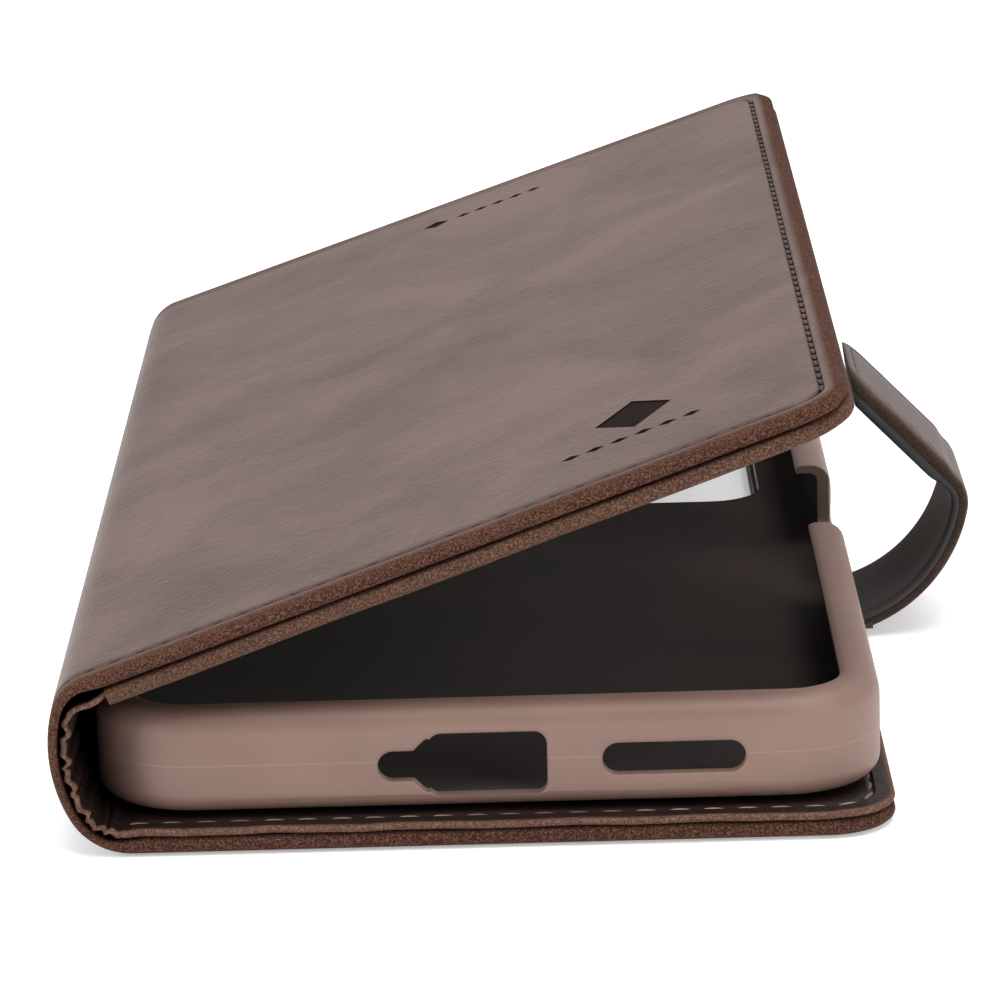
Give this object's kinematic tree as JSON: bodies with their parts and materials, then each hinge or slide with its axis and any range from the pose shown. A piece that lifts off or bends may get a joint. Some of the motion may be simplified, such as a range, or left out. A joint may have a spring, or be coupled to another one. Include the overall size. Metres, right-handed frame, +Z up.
{
  "type": "phone wallet case",
  "caption": "Book-style phone wallet case: soft tray on a padded leather back, folding spine and front cover with card pockets, and a magnetic closing strap.",
  "frame": {"origin": "centre of the back's resting face, under the middle of the phone tray", "axes": "+X towards the strap, +Y along the phone away from its charging port, +Z up through the tray"},
  "size_m": [0.096, 0.1702, 0.0445],
  "materials": {
    "outer_leather": "waxed, satin",
    "lining_leather": "sueded, matte",
    "panel_leather": "sueded edge, satin face",
    "pocket_leather": "satin",
    "tray_tpu": "moulded, satin",
    "thread": "waxed thread",
    "strap_lining": "smooth, satin",
    "board": "pressed fibre board, raw",
    "pad": "adhesive foam",
    "steel": "plated"
  },
  "bodies": {
    "back": {"back_leather": "outer_leather", "back_board": "board", "back_lining": "lining_leather", "back_stitches": "thread", "adhesive_pad": "pad", "phone_tray": "tray_tpu", "strap_anchor": "strap_lining"},
    "spine": {"spine_leather": "outer_leather", "spine_lining": "lining_leather"},
    "front_cover": {"front_leather": "outer_leather", "front_board": "board", "front_lining": "lining_leather", "front_stitches": "thread", "cash_pocket_panel": "panel_leather", "card_pocket_1": "pocket_leather", "card_pocket_2": "pocket_leather", "card_pocket_3": "pocket_leather", "pocket_stitches": "thread", "catch_plate": "steel"},
    "strap_band": {"strap_leather": "outer_leather", "strap_lining": "strap_lining"},
    "strap_tab": {"tab_leather": "outer_leather", "tab_lining": "strap_lining", "tab_magnet": "steel", "tab_stitches": "thread"}
  },
  "joints": [
    {"name": "spine_fold", "type": "hinge", "parent": "back", "child": "spine", "pos_m": [-0.0412, 0, 0.0023], "axis": [0, -1, 0], "range_deg": [0, 90]},
    {"name": "cover_fold", "type": "hinge", "parent": "spine", "child": "front_cover", "pos_m": [-0.039, 0, 0.0165], "axis": [0, -1, 0], "range_deg": [-19.4, 160.6]},
    {"name": "strap_fold", "type": "hinge", "parent": "back", "child": "strap_band", "pos_m": [0.041, -0.0055, 0.0015], "axis": [0, -1, 0], "range_deg": [-30, 36]},
    {"name": "tab_fold", "type": "hinge", "parent": "strap_band", "child": "strap_tab", "pos_m": [0.05221, -0.0055, 0.01579], "axis": [0, -1, 0], "range_deg": [-80, 9.6]}
  ]
}
